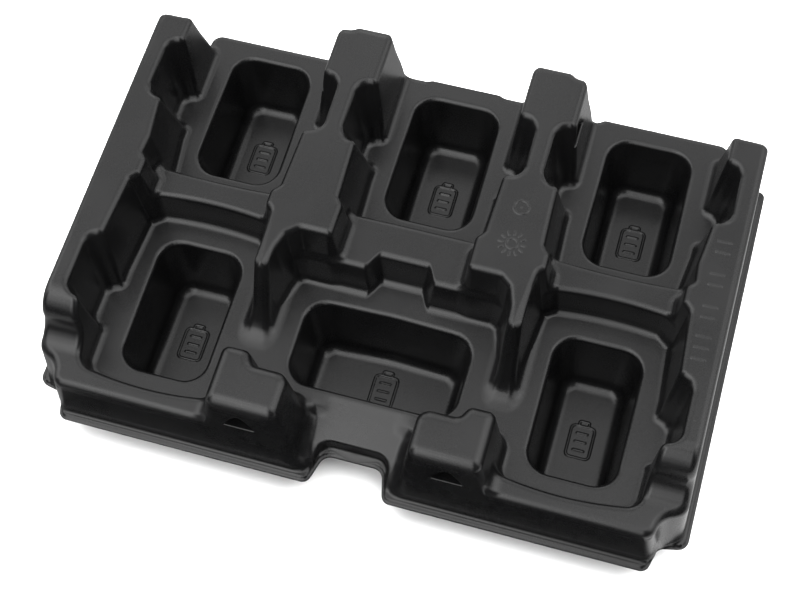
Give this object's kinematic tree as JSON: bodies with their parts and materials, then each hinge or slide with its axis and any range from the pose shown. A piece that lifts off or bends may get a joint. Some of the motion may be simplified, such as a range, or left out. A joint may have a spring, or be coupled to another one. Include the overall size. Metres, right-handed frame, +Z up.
{
  "type": "battery box insert",
  "caption": "Thermoformed black plastic insert tray for a tool case, with deep pockets for battery packs between side rails, ridges and curved bars.",
  "frame": {"origin": "centre of the footprint, at the level of the undersides of the pocket floors, which the tray stands on", "axes": "+X along the long side to the right as seen from the front, +Y to the back, away from the curved front lips and the chute, +Z up"},
  "size_m": [0.374, 0.262, 0.093],
  "materials": {
    "tray": "satin black formed sheet"
  },
  "bodies": {
    "root": {"tray": "tray"}
  },
  "joints": []
}
